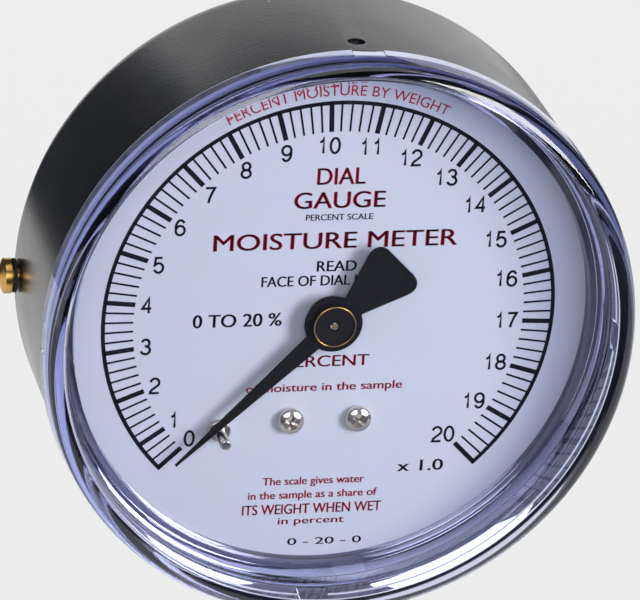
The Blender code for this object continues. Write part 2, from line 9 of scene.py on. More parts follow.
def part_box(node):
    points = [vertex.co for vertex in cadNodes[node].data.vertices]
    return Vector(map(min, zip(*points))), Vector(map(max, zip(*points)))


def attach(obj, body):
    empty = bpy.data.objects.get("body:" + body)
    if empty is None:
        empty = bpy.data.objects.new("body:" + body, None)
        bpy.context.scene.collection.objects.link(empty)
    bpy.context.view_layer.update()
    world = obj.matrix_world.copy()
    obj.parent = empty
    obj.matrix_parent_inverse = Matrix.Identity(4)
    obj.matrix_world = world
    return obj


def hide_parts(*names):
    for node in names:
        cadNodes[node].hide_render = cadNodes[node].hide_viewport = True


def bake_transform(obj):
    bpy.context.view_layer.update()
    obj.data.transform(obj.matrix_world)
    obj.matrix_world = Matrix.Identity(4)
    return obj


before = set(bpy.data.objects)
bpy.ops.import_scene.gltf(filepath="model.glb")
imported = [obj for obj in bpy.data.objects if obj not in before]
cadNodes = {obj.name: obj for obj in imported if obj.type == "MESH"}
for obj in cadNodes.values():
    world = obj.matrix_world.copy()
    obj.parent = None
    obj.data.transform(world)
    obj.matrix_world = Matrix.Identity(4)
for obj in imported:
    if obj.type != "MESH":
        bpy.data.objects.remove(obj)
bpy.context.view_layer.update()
mm = 0.001

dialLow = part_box("dial")[0]
caseLow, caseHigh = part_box("case")
windowLow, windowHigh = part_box("lens")
dialFace = dialLow.y  # the printed side looks along -Y
caseRadius = caseHigh.x / mm
caseDepth = (caseHigh.y - dialFace) / mm
windowFront = (dialFace - windowLow.y) / mm
windowRadius = windowHigh.x / mm
print("frame loaded, case radius %.1f mm, window stands %.1f mm in front of the dial"
      % (caseRadius, windowFront))

# in the helpers below, heights are millimetres in front of the dial's face
# and angles run clockwise from the top


def onDial(x, z, height):
    # stacks x across, z up and height in front of the dial, in millimetres, into points in metres
    x, z, height = np.broadcast_arrays(np.asarray(x, float), z, height)
    return np.stack([x * mm, dialFace - height * mm, z * mm], axis=-1)


def newPiece(name, points, faces, look, smoothAngle=40):
    # one mesh object from whole arrays, with doubles merged, faces turned outwards and crisp edges kept
    mesh = bpy.data.meshes.new(name)
    mesh.from_pydata(points.reshape(-1, 3).tolist(), [], faces.tolist())
    work = bmesh.new()
    work.from_mesh(mesh)
    bmesh.ops.remove_doubles(work, verts=work.verts, dist=2e-7)
    bmesh.ops.dissolve_degenerate(work, edges=work.edges, dist=1e-7)
    bmesh.ops.recalc_face_normals(work, faces=work.faces)
    work.to_mesh(mesh)
    work.free()
    mesh.shade_smooth()
    mesh.set_sharp_from_angle(angle=math.radians(smoothAngle))
    piece = bpy.data.objects.new(name, mesh)
    bpy.context.scene.collection.objects.link(piece)
    mesh.materials.append(look)
    return piece


def gridFaces(rows, columns, joinRows=False, joinColumns=False):
    # four-sided faces over a rows by columns grid of points, joined up where a direction closes
    r = np.arange(rows if joinRows else rows - 1)
    c = np.arange(columns if joinColumns else columns - 1)
    r, c = np.meshgrid(r, c, indexing="ij")
    rNext, cNext = (r + 1) % rows, (c + 1) % columns
    corners = [r * columns + c, rNext * columns + c, rNext * columns + cNext, r * columns + cNext]
    return np.stack(corners, axis=-1).reshape(-1, 4)


def rounded(corners, steps=6):
    # profile with each corner (radius, height, fillet) replaced by an arc of that fillet
    corners = np.array([c if len(c) == 3 else (*c, 0) for c in corners], float)
    points = []
    for before, here, after in zip(np.roll(corners, 1, 0), corners, np.roll(corners, -1, 0)):
        if here[2] == 0:
            points.append(here[:2])
            continue
        a, b = before[:2] - here[:2], after[:2] - here[:2]
        a, b = a / np.hypot(*a), b / np.hypot(*b)
        half = 0.5 * math.acos(np.clip(a @ b, -1, 1))
        middle = here[:2] + (a + b) / np.hypot(*(a + b)) * here[2] / math.sin(half)
        start, end = here[:2] + a * here[2] / math.tan(half), here[:2] + b * here[2] / math.tan(half)
        for share in np.linspace(0, 1, steps + 1):
            spoke = (start - middle) * (1 - share) + (end - middle) * share
            points.append(middle + spoke / np.hypot(*spoke) * here[2])
    return np.array(points)


def turnedPiece(name, corners, look, steps=128, x=0.0, z=0.0, filletSteps=6, smoothAngle=40):
    # a closed profile of (radius, height, fillet) turned about the line through (x, z):
    # point = (x + radius sin angle, z + radius cos angle, height)
    profile = rounded(corners, filletSteps)
    angle = np.linspace(0, 2 * math.pi, steps, endpoint=False)[:, None]
    points = onDial(x + profile[:, 0] * np.sin(angle), z + profile[:, 0] * np.cos(angle), profile[:, 1])
    return newPiece(name, points, gridFaces(steps, len(profile), True, True), look, smoothAngle)


def settled(piece):
    # the piece as one plain mesh, with its modifiers worked in
    bpy.context.view_layer.update()
    done = bpy.data.meshes.new_from_object(piece.evaluated_get(bpy.context.evaluated_depsgraph_get()))
    piece.modifiers.clear()
    piece.data = done
    return piece


def cutAway(piece, cutter, smoothAngle=40):
    boolean = piece.modifiers.new("cut", "BOOLEAN")
    boolean.operation = "DIFFERENCE"
    boolean.solver = "EXACT"
    boolean.object = cutter
    settled(piece)
    bpy.data.objects.remove(cutter, do_unlink=True)
    piece.data.shade_smooth()
    piece.data.set_sharp_from_angle(angle=math.radians(smoothAngle))
    return piece


def boxPiece(name, size, centre, turn, look=None):
    # box as wide, high and deep as size, centred at (x, z, height) and turned clockwise on the dial
    across, up, deep = [0.5 * s for s in size]
    corners = np.array([(x, z, h) for x in (-across, across) for z in (-up, up) for h in (-deep, deep)])
    c, s = math.cos(math.radians(turn)), math.sin(math.radians(turn))
    x, z = corners[:, 0] * c + corners[:, 1] * s, corners[:, 1] * c - corners[:, 0] * s
    points = onDial(x + centre[0], z + centre[1], corners[:, 2] + centre[2])
    faces = np.array([(0, 1, 3, 2), (4, 6, 7, 5), (0, 4, 5, 1), (2, 3, 7, 6), (0, 2, 6, 4), (1, 5, 7, 3)])
    return newPiece(name, points, faces, look or plainBlack)


def polar(radius, angle):
    turn = np.radians(angle)
    return radius * np.sin(turn), radius * np.cos(turn)


def joined(name, pieces):
    # several meshes as one object
    work = bmesh.new()
    for piece in pieces:
        work.from_mesh(piece.data)
    mesh = pieces[0].data.copy()
    work.to_mesh(mesh)
    work.free()
    for piece in pieces:
        bpy.data.objects.remove(piece, do_unlink=True)
    made = bpy.data.objects.new(name, mesh)
    bpy.context.scene.collection.objects.link(made)
    return made


# node groups that several finishes share


def startGroup(name, inputs, outputs):
    group = bpy.data.node_groups.new(name, "ShaderNodeTree")
    for label, kind, value in inputs:
        socket = group.interface.new_socket(name=label, in_out="INPUT", socket_type=kind)
        if value is not None:
            socket.default_value = value
    for label, kind in outputs:
        group.interface.new_socket(name=label, in_out="OUTPUT", socket_type=kind)
    return group, group.nodes.new("NodeGroupInput"), group.nodes.new("NodeGroupOutput")


def addNode(tree, kind, settings=None, **inputs):
    # a node with its settings and inputs set; an input that is a socket is linked
    node = tree.nodes.new(kind)
    for key, value in (settings or {}).items():
        setattr(node, key, value)
    for key, value in inputs.items():
        numbered = key[0] == "i" and key[1:].isdigit()
        socket = node.inputs[int(key[1:]) if numbered else key.replace("_", " ")]
        if isinstance(value, bpy.types.NodeSocket):
            tree.links.new(value, socket)
        else:
            socket.default_value = value
    return node


def makeOrangePeel():
    # soft pebbled skin of sprayed paint: two sizes of noise added, as a bumped normal
    group, given, out = startGroup(
        "orangePeel",
        [("Vector", "NodeSocketVector", None), ("Scale", "NodeSocketFloat", 900.0),
         ("Depth", "NodeSocketFloat", 0.02), ("Strength", "NodeSocketFloat", 0.4)],
        [("Normal", "NodeSocketVector"), ("Pebble", "NodeSocketFloat")])
    coarse = addNode(group, "ShaderNodeTexNoise", None, Vector=given.outputs["Vector"],
                     Scale=given.outputs["Scale"], Detail=2.0, Roughness=0.45)
    triple = addNode(group, "ShaderNodeMath", {"operation": "MULTIPLY"}, i0=given.outputs["Scale"], i1=3.1)
    fine = addNode(group, "ShaderNodeTexNoise", None, Vector=given.outputs["Vector"], Scale=triple.outputs[0],
                   Detail=1.0, Roughness=0.5)
    mixed = addNode(group, "ShaderNodeMath", {"operation": "MULTIPLY_ADD"}, i0=fine.outputs[0], i1=0.35,
                    i2=coarse.outputs[0])
    depth = addNode(group, "ShaderNodeMath", {"operation": "MULTIPLY"}, i0=given.outputs["Depth"], i1=mm)
    bump = addNode(group, "ShaderNodeBump", None, Strength=given.outputs["Strength"],
                   Distance=depth.outputs[0], Height=mixed.outputs[0])
    group.links.new(bump.outputs[0], out.inputs["Normal"])
    group.links.new(mixed.outputs[0], out.inputs["Pebble"])
    return group


def makeSpecks():
    # scattered dust: small dots round cell centres, kept in a few of the cells
    group, given, out = startGroup(
        "dustSpecks",
        [("Vector", "NodeSocketVector", None), ("Scale", "NodeSocketFloat", 400.0),
         ("Size", "NodeSocketFloat", 0.08), ("Share", "NodeSocketFloat", 0.1)],
        [("Mask", "NodeSocketFloat")])
    cells = addNode(group, "ShaderNodeTexVoronoi", None, Vector=given.outputs["Vector"],
                    Scale=given.outputs["Scale"])
    dot = addNode(group, "ShaderNodeMath", {"operation": "LESS_THAN"}, i0=cells.outputs["Distance"],
                  i1=given.outputs["Size"])
    chosen = addNode(group, "ShaderNodeSeparateColor", None, Color=cells.outputs["Color"])
    few = addNode(group, "ShaderNodeMath", {"operation": "LESS_THAN"}, i0=chosen.outputs[0],
                  i1=given.outputs["Share"])
    both = addNode(group, "ShaderNodeMath", {"operation": "MULTIPLY"}, i0=dot.outputs[0], i1=few.outputs[0])
    group.links.new(both.outputs[0], out.inputs["Mask"])
    return group


def makeTurnedMarks():
    # fine rings left by a lathe tool about the Y axis, with a little uneven wear
    group, given, out = startGroup(
        "turnedMarks",
        [("Vector", "NodeSocketVector", None), ("Pitch", "NodeSocketFloat", 9000.0),
         ("Depth", "NodeSocketFloat", 0.004)],
        [("Normal", "NodeSocketVector"), ("Wear", "NodeSocketFloat")])
    axes = addNode(group, "ShaderNodeSeparateXYZ", None, Vector=given.outputs["Vector"])
    squareX = addNode(group, "ShaderNodeMath", {"operation": "POWER"}, i0=axes.outputs["X"], i1=2.0)
    squareZ = addNode(group, "ShaderNodeMath", {"operation": "MULTIPLY_ADD"}, i0=axes.outputs["Z"],
                      i1=axes.outputs["Z"], i2=squareX.outputs[0])
    radius = addNode(group, "ShaderNodeMath", {"operation": "SQRT"}, i0=squareZ.outputs[0])
    along = addNode(group, "ShaderNodeMath", {"operation": "ADD"}, i0=radius.outputs[0], i1=axes.outputs["Y"])
    rings = addNode(group, "ShaderNodeTexNoise", {"noise_dimensions": "1D"}, W=along.outputs[0],
                    Scale=given.outputs["Pitch"], Detail=3.0, Roughness=0.7)
    patches = addNode(group, "ShaderNodeTexNoise", None, Vector=given.outputs["Vector"],
                      Scale=260.0, Detail=5.0)
    depth = addNode(group, "ShaderNodeMath", {"operation": "MULTIPLY"}, i0=given.outputs["Depth"], i1=mm)
    bump = addNode(group, "ShaderNodeBump", None, Strength=0.6, Distance=depth.outputs[0],
                   Height=rings.outputs[0])
    group.links.new(bump.outputs[0], out.inputs["Normal"])
    group.links.new(patches.outputs[0], out.inputs["Wear"])
    return group


orangePeel, dustSpecks, turnedMarks = makeOrangePeel(), makeSpecks(), makeTurnedMarks()


def startLook(name, **fixed):
    # a material with one Principled BSDF whose plain values are set on its own sockets
    look = bpy.data.materials.new(name)
    look.use_nodes = True
    tree = look.node_tree
    tree.nodes.clear()
    shader = addNode(tree, "ShaderNodeBsdfPrincipled", None, **fixed)
    output = tree.nodes.new("ShaderNodeOutputMaterial")
    tree.links.new(shader.outputs[0], output.inputs["Surface"])
    place = tree.nodes.new("ShaderNodeTexCoord").outputs["Object"]
    return look, tree, shader, place


def placeGroup(tree, group, **inputs):
    node = tree.nodes.new("ShaderNodeGroup")
    node.node_tree = group
    for key, value in inputs.items():
        if isinstance(value, bpy.types.NodeSocket):
            tree.links.new(value, node.inputs[key])
        else:
            node.inputs[key].default_value = value
    return node


def spread(tree, value, low, high, fromLow=0.3, fromHigh=0.7):
    return addNode(tree, "ShaderNodeMapRange", None, Value=value, From_Min=fromLow, From_Max=fromHigh,
                   To_Min=low, To_Max=high).outputs[0]


def blendColours(tree, share, first, second):
    # sockets 6 and 7 of a colour mix are its two colours
    return addNode(tree, "ShaderNodeMix", {"data_type": "RGBA"}, i0=share, i6=first, i7=second).outputs[2]


def paintLook(name, colour, dusty, roughLow, roughHigh, peelScale, peelDepth, strength=0.4, speckShare=0.0,
              gloss=0.5):
    # sprayed or moulded black and white finishes: pebbled skin, uneven gloss and stray dust
    look, tree, shader, place = startLook(name)
    peel = placeGroup(tree, orangePeel, Vector=place, Scale=peelScale, Depth=peelDepth, Strength=strength)
    cloud = addNode(tree, "ShaderNodeTexNoise", None, Vector=place, Scale=70.0, Detail=4.0, Roughness=0.6)
    specks = placeGroup(tree, dustSpecks, Vector=place, Scale=330.0, Size=0.07, Share=speckShare)
    tone = blendColours(tree, spread(tree, cloud.outputs[0], 0.0, 0.35), (*colour, 1), (*dusty, 1))
    tone = blendColours(tree, specks.outputs[0], tone, (0.5, 0.5, 0.5, 1))
    tree.links.new(tone, shader.inputs["Base Color"])
    tree.links.new(spread(tree, cloud.outputs[0], roughLow, roughHigh), shader.inputs["Roughness"])
    tree.links.new(peel.outputs["Normal"], shader.inputs["Normal"])
    shader.inputs["Specular IOR Level"].default_value = gloss
    return look


def metalLook(name, colour, stained, roughLow, roughHigh, pitch=9000.0, depth=0.004):
    # turned or plated metal: tool rings, tarnish in patches and uneven gloss
    look, tree, shader, place = startLook(name, Metallic=1.0)
    marks = placeGroup(tree, turnedMarks, Vector=place, Pitch=pitch, Depth=depth)
    tone = blendColours(tree, spread(tree, marks.outputs["Wear"], 0.0, 1.0, 0.42, 0.72),
                        (*colour, 1), (*stained, 1))
    tree.links.new(tone, shader.inputs["Base Color"])
    tree.links.new(spread(tree, marks.outputs["Wear"], roughLow, roughHigh), shader.inputs["Roughness"])
    tree.links.new(marks.outputs["Normal"], shader.inputs["Normal"])
    return look


plainBlack = paintLook("plainBlack", (0.01, 0.01, 0.012), (0.02, 0.02, 0.022), 0.4, 0.5, 2000.0, 0.005)
casePaint = paintLook("casePaint", (0.006, 0.0065, 0.008), (0.010, 0.011, 0.013), 0.2, 0.27, 1250.0, 0.03,
                      0.6, speckShare=0.02, gloss=1.0)
# pale inner-wall colour: painted light for the bright band seen through the window's skirt
insideWallPaintedLight = paintLook("insideWallPaintedLight", (0.74, 0.75, 0.78), (0.62, 0.63, 0.66), 0.4, 0.55, 1800.0, 0.01, 0.4)
dialEnamel = paintLook("dialEnamel", (0.78, 0.80, 0.79), (0.76, 0.78, 0.78), 0.38, 0.5, 2600.0, 0.004, 0.25,
                       speckShare=0.004)
pointerPaint = paintLook("pointerPaint", (0.003, 0.003, 0.003), (0.009, 0.008, 0.008), 0.5, 0.62,
                         3200.0, 0.01, 0.4, gloss=0.12)
hubPaint = paintLook("hubPaint", (0.005, 0.004, 0.004), (0.016, 0.012, 0.010), 0.34, 0.46,
                     3000.0, 0.008, 0.4, gloss=0.2)
inkBlack = paintLook("inkBlack", (0.003, 0.004, 0.007), (0.008, 0.009, 0.014), 0.4, 0.55,
                     2600.0, 0.004, 0.3, gloss=0.1)
inkRed = paintLook("inkRed", (0.50, 0.006, 0.035), (0.56, 0.012, 0.045), 0.4, 0.55,
                   2600.0, 0.004, 0.3, gloss=0.1)
sealRubber = paintLook("sealRubber", (0.015, 0.015, 0.016), (0.03, 0.03, 0.03), 0.7, 0.85,
                       1800.0, 0.02, 0.5)
fibreRed = paintLook("fibreRed", (0.28, 0.06, 0.03), (0.36, 0.10, 0.05), 0.65, 0.8, 2400.0, 0.03, 0.6)

brassTurned = metalLook("brassTurned", (0.78, 0.47, 0.13), (0.55, 0.31, 0.09), 0.18, 0.34)
brassPlate = metalLook("brassPlate", (0.72, 0.50, 0.20), (0.52, 0.36, 0.14), 0.26, 0.42, 5000.0)
nickelPlate = metalLook("nickelPlate", (0.66, 0.61, 0.53), (0.48, 0.43, 0.36), 0.14, 0.28)
zincSteel = metalLook("zincSteel", (0.60, 0.61, 0.62), (0.42, 0.43, 0.43), 0.28, 0.45)
polishedSteel = metalLook("polishedSteel", (0.64, 0.64, 0.65), (0.50, 0.50, 0.50), 0.14, 0.26)
bronzeDrawn = metalLook("bronzeDrawn", (0.60, 0.36, 0.17), (0.42, 0.22, 0.10), 0.24, 0.4, 3000.0)


def makeWindowPlastic():
    # clear violet-tinted moulding: fine handling marks, colour that deepens with thickness,
    # and light let straight in
    look, tree, shader, place = startLook("windowPlastic", Metallic=0.0, IOR=1.58, Transmission_Weight=1.0,
                                          Base_Color=(0.985, 0.985, 1.0, 1.0))
    scuffs = addNode(tree, "ShaderNodeTexNoise", None, Vector=place, Scale=220.0, Detail=6.0, Roughness=0.7)
    tree.links.new(spread(tree, scuffs.outputs[0], 0.012, 0.05, 0.45, 0.75), shader.inputs["Roughness"])
    ripple = addNode(tree, "ShaderNodeTexNoise", None, Vector=place, Scale=60.0, Detail=2.0)
    bump = addNode(tree, "ShaderNodeBump", None, Strength=0.25, Distance=0.02 * mm, Height=ripple.outputs[0])
    tree.links.new(bump.outputs[0], shader.inputs["Normal"])
    path = tree.nodes.new("ShaderNodeLightPath")
    # light reaches the dial through the pane; the thick rim bends most of it away, so it leaves a soft shade
    axes = addNode(tree, "ShaderNodeSeparateXYZ", None, Vector=place)
    flat = addNode(tree, "ShaderNodeCombineXYZ", None, X=axes.outputs["X"], Y=axes.outputs["Z"])
    radius = addNode(tree, "ShaderNodeVectorMath", {"operation": "LENGTH"}, i0=flat.outputs[0])
    rim = spread(tree, radius.outputs["Value"], 0.0, 1.0, 46.0 * mm, 47.5 * mm)
    shade = blendColours(tree, rim, (0.96, 0.965, 1.0, 1.0), (0.46, 0.49, 0.58, 1.0))
    through = addNode(tree, "ShaderNodeBsdfTransparent", None, Color=shade)
    either = addNode(tree, "ShaderNodeMath", {"operation": "MAXIMUM"}, i0=path.outputs["Is Shadow Ray"],
                     i1=path.outputs["Is Diffuse Ray"])
    mix = tree.nodes.new("ShaderNodeMixShader")
    tree.links.new(either.outputs[0], mix.inputs[0])
    tree.links.new(shader.outputs[0], mix.inputs[1])
    tree.links.new(through.outputs[0], mix.inputs[2])
    output = next(n for n in tree.nodes if n.type == "OUTPUT_MATERIAL")
    tree.links.new(mix.outputs[0], output.inputs["Surface"])
    tint = addNode(tree, "ShaderNodeVolumeAbsorption", None, Color=(0.43, 0.50, 0.95, 1.0), Density=62.0)
    tree.links.new(tint.outputs[0], output.inputs["Volume"])
    return look


windowPlastic = makeWindowPlastic()
print("materials made")

# the case, whose front edge turns in to a narrow shoulder under the window's rim

case = {"wall": 1.0, "corner": 7.0, "opening": 47.9, "shoulderTop": 6.9, "bore": 8.4,
        "steps": 256, "holeRadius": 1.5, "holeAngle": 1.3, "holeHeight": 1.9}


def bareInside(shell):
    # the side wall's inner faces, whose normals point at the axis, get a pale colour: painted light standing
    # in for the bright band seen there through the window's skirt
    sides = shell.data.polygons
    centre, normal = np.empty(len(sides) * 3), np.empty(len(sides) * 3)
    sides.foreach_get("center", centre)
    sides.foreach_get("normal", normal)
    centre, normal = centre.reshape(-1, 3)[:, ::2], normal.reshape(-1, 3)[:, ::2]
    radius = np.hypot(*centre.T)
    inward = (centre * normal).sum(1) < -0.5 * radius
    shell.data.materials.append(insideWallPaintedLight)
    sides.foreach_set("material_index", (inward & (radius > 0.9 * caseRadius * mm)).astype(np.int32))


def makeCase():
    wall, r, depth, top = case["wall"], caseRadius, caseDepth, case["shoulderTop"]
    # outer side from the shoulder back round the corner to the bore, then the inner side forwards again
    corners = [(case["opening"], top, 0.2), (r, top, 0.7), (r, -depth, case["corner"]),
               (case["bore"], -depth, 0.3), (case["bore"], wall - depth),
               (r - wall, wall - depth, case["corner"] - wall),
               (r - wall, top - wall), (case["opening"], top - wall, 0.2)]
    shell = turnedPiece("caseShell", corners, casePaint, case["steps"], filletSteps=12)
    hole = turnedPiece("locatingHole", [(0, 60), (case["holeRadius"], 60), (case["holeRadius"], 42), (0, 42)],
                       plainBlack, 48)
    hole.data.transform(Matrix.Translation((0, -dialFace, 0)))
    hole.data.transform(Matrix.Rotation(math.radians(-90), 4, "X"))
    hole.data.transform(Matrix.Rotation(math.radians(case["holeAngle"]), 4, "Y"))
    hole.data.transform(Matrix.Translation((0, dialFace - case["holeHeight"] * mm, 0)))
    cutAway(shell, hole)
    bareInside(shell)
    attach(shell, "case_body")
    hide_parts("case")


makeCase()

# the window, one clear moulding: a pane, a thick rim, and a skirt that comes down to the dial

window = {"rear": 7.2, "round": 2.9, "sideRadius": 50.2, "pane": 2.5, "skirtOuter": 47.6, "skirtFoot": 0.3,
          "skirtInner": 44.55, "stepTop": 4.0, "slopeRadius": 46.2, "slopeTop": 5.5, "paneCorner": 47.6,
          "steps": 320, "clipAngles": (2, 92, 182, 272), "notch": (5.4, 0.8, 3.4), "notchHeight": 8.4}


def makeWindow():
    w = window
    under = windowFront - w["pane"]
    corners = [(0, windowFront), (w["sideRadius"], windowFront, w["round"]), (windowRadius, w["rear"], 0.35),
               (w["skirtOuter"], w["rear"], 0.2), (w["skirtOuter"], w["skirtFoot"], 0.25),
               (w["skirtInner"], w["skirtFoot"], 0.15), (w["skirtInner"], w["stepTop"], 0.2),
               (w["slopeRadius"], w["slopeTop"], 0.3), (w["paneCorner"], under, 0.4), (0, under)]
    pane = turnedPiece("window", corners, windowPlastic, w["steps"], filletSteps=10, smoothAngle=30)
    for angle in w["clipAngles"]:
        x, z = polar(windowRadius, angle)
        cutAway(pane, boxPiece("clipNotch", w["notch"], (x, z, w["notchHeight"]), angle), 30)
    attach(pane, "case_body")
    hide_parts("lens")


makeWindow()
print("case and window made")

# the scale printed on the dial

scale = {"outer": 39.3, "line": 0.7, "tickInner": 33.8, "major": 0.85, "minor": 0.35, "ink": 0.03,
         "steps": 98, "perUnit": 5, "firstUnit": 3, "start": -135.0, "sweep": 270.0,
         "numeralRadius": 31.35, "numeralShift": -0.45,
         "drift": (0.431, -1.117, -1.137, 0.258, -0.563)}


def printedAngle(step):
    # even steps, plus a drift in degrees of a print that sits a little off the dial's centre:
    # a fixed part, then parts that follow the cosine and sine of the angle and of twice the angle
    even = scale["start"] + scale["sweep"] * np.asarray(step, float) / scale["steps"]
    a = np.radians(even)
    fixed, cosine, sine, cosineTwice, sineTwice = scale["drift"]
    return (even + fixed + cosine * np.cos(a) + sine * np.sin(a)
            + cosineTwice * np.cos(2 * a) + sineTwice * np.sin(2 * a))


def makeScale():
    steps = np.arange(scale["steps"] + 1)
    major = ((steps - scale["firstUnit"]) % scale["perUnit"] == 0) | (steps == 0)
    width = np.where(major, scale["major"], scale["minor"])[:, None]
    turn = np.radians(printedAngle(steps))[:, None]
    # each tick is a thin box: along the radius, across it, and from just under the face to just above
    along = np.array([scale["tickInner"], scale["outer"] - 0.5 * scale["line"]])[[0, 0, 1, 1, 0, 0, 1, 1]]
    across = 0.5 * width * np.array([-1, 1, 1, -1, -1, 1, 1, -1])
    height = scale["ink"] * np.array([-1, -1, -1, -1, 1, 1, 1, 1])
    x = along * np.sin(turn) + across * np.cos(turn)
    z = along * np.cos(turn) - across * np.sin(turn)
    points = onDial(x, z, height)
    box = np.array([(3, 2, 1, 0), (4, 5, 6, 7), (0, 1, 5, 4), (1, 2, 6, 5), (2, 3, 7, 6), (3, 0, 4, 7)])
    faces = (box + 8 * steps[:, None, None]).reshape(-1, 4)
    ticks = newPiece("scaleTicks", points, faces, inkBlack)
    # the circle is a thin band carried from the first tick to the last
    half = math.degrees(0.5 * scale["major"] / scale["outer"])
    ends = printedAngle([0, scale["steps"]]) + (-half, half)
    sweep = np.radians(np.linspace(*ends, 360))[:, None]
    radius = scale["outer"] - scale["line"] * np.array([1, 0, 0, 1])
    lift = scale["ink"] * np.array([-1, -1, 1, 1])
    band = onDial(radius * np.sin(sweep), radius * np.cos(sweep), lift)
    faces = gridFaces(360, 4, False, True)
    circle = newPiece("scaleCircle", band, faces, inkBlack)
    work = bmesh.new()
    work.from_mesh(circle.data)
    bmesh.ops.holes_fill(work, edges=work.edges, sides=4)
    bmesh.ops.recalc_face_normals(work, faces=work.faces)
    work.to_mesh(circle.data)
    work.free()
    for piece in (ticks, circle):
        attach(piece, "case_body")


makeScale()

# the numbers and words printed on the dial


def lettering(name, words, look):
    # the words as a thin mesh that starts at the origin; returns it with its width and height
    text = bpy.data.curves.new(name, "FONT")
    text.body = words
    text.size = 1.0
    text.extrude = 0.01
    text.resolution_u = 5
    holder = bpy.data.objects.new(name, text)
    bpy.context.scene.collection.objects.link(holder)
    bpy.context.view_layer.update()
    mesh = bpy.data.meshes.new_from_object(holder.evaluated_get(bpy.context.evaluated_depsgraph_get()))
    bpy.data.objects.remove(holder, do_unlink=True)
    piece = bpy.data.objects.new(name, mesh)
    bpy.context.scene.collection.objects.link(piece)
    mesh.materials.clear()
    mesh.materials.append(look)
    points = np.empty(len(mesh.vertices) * 3)
    mesh.vertices.foreach_get("co", points)
    return piece, points.reshape(-1, 3)


def printWords(name, words, look, x, z, height, width):
    # scales the words to a height and width in millimetres and lays them on the dial, centred at (x, z)
    piece, points = lettering(name, words, look)
    low, high = points.min(0), points.max(0)
    across = (points[:, 0] - 0.5 * (low + high)[0]) * width / (high - low)[0]
    up = (points[:, 1] - 0.5 * (low + high)[1]) * height / (high - low)[1]
    lift = np.where(points[:, 2] > 0, 1.0, -1.0) * scale["ink"]
    piece.data.vertices.foreach_set("co", onDial(x + across, z + up, lift).ravel())
    piece.data.update()
    return piece


def bow(x, y, across, up, start, end, points=16):
    # part of an ellipse about (x, y), angles in degrees anticlockwise from the right
    turn = np.radians(np.linspace(start, end, points))
    return np.stack([x + across * np.cos(turn), y + up * np.sin(turn)], axis=-1)


# each digit's strokes as lines of points in a box that runs from -1 to 1 both ways,
# and whether the line closes
digitStrokes = {
    "0": [(bow(0, 0, 1, 1, 0, 345, 24), True)],
    "1": [([(-0.62, 0.5), (-0.2, 0.57), (0.1, 0.74), (0.22, 1.0), (0.22, -1.0)], False)],
    "2": [(np.concatenate([bow(0, 0.43, 0.97, 0.57, 172, -38), [(-0.75, -0.62), (-1, -1), (1, -1)]]), False)],
    "3": [(np.concatenate([bow(-0.02, 0.5, 0.85, 0.5, 165, -75), bow(0, -0.47, 1, 0.53, 80, -168)]), False)],
    "4": [([(0.45, -1), (0.45, 1), (-1, -0.38), (1, -0.38)], False)],
    "5": [(np.concatenate([[(0.8, 1), (-0.66, 1), (-0.86, 0.02)],
                           bow(0, -0.36, 1, 0.64, 140, -160)]), False)],
    "6": [(bow(0.04, 0, 1.04, 1, 38, 186), False), (bow(0, -0.38, 1, 0.62, 0, 345, 20), True)],
    "7": [([(-1, 1), (1, 1), (0.35, 0.25), (-0.1, -0.45), (-0.3, -1)], False)],
    "8": [(bow(0, 0.5, 0.84, 0.5, 0, 345, 18), True), (bow(0, -0.47, 1, 0.53, 0, 345, 18), True)],
    "9": [(bow(-0.04, 0, 1.04, 1, 218, 366), False), (bow(0, 0.38, 1, 0.62, 0, 345, 20), True)]}
digit = {"stroke": 0.43, "halfWide": 0.76, "halfTall": 1.34, "pitch": 2.15}


def ribbonPiece(name, line, closed, width, look):
    # flat band of ink along a line of points (x, z), with mitred corners and closed ends
    line = np.asarray(line, float)
    back = line - np.roll(line, 1, 0)
    ahead = np.roll(line, -1, 0) - line
    if not closed:
        back[0], ahead[-1] = ahead[0], back[-1]
    back, ahead = back / np.hypot(*back.T)[:, None], ahead / np.hypot(*ahead.T)[:, None]
    middle = back + ahead
    middle = middle / np.hypot(*middle.T)[:, None]
    reach = 0.5 * width / np.clip((middle * back).sum(1), 0.45, 1)
    side = np.stack([-middle[:, 1], middle[:, 0]], -1) * reach[:, None]
    x = line[:, :1] + side[:, :1] * np.array([-1, 1, 1, -1])
    z = line[:, 1:] + side[:, 1:] * np.array([-1, 1, 1, -1])
    points = onDial(x, z, scale["ink"] * np.array([-1, -1, 1, 1]))
    last = 4 * (len(line) - 1)
    faces = gridFaces(len(line), 4, closed, True).tolist()
    if not closed:
        faces += [[3, 2, 1, 0], [last, last + 1, last + 2, last + 3]]
    return newPiece(name, points, np.array(faces), look)


def makeNumerals():
    values = np.arange(21)
    steps = np.where(values == 0, 0, scale["firstUnit"] + scale["perUnit"] * (values - 1))
    pieces = []
    for value, angle in zip(values, printedAngle(steps)):
        x, z = polar(scale["numeralRadius"], angle)
        for place, sign in enumerate(str(value)):
            left = float(x) + scale["numeralShift"] + digit["pitch"] * (place - 0.5 * (len(str(value)) - 1))
            for line, closed in digitStrokes[sign]:
                line = np.asarray(line) * (digit["halfWide"], digit["halfTall"]) + (left, float(z))
                pieces.append(ribbonPiece("number", line, closed, digit["stroke"], inkBlack))
    numbers = joined("scaleNumbers", pieces)
    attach(numbers, "case_body")


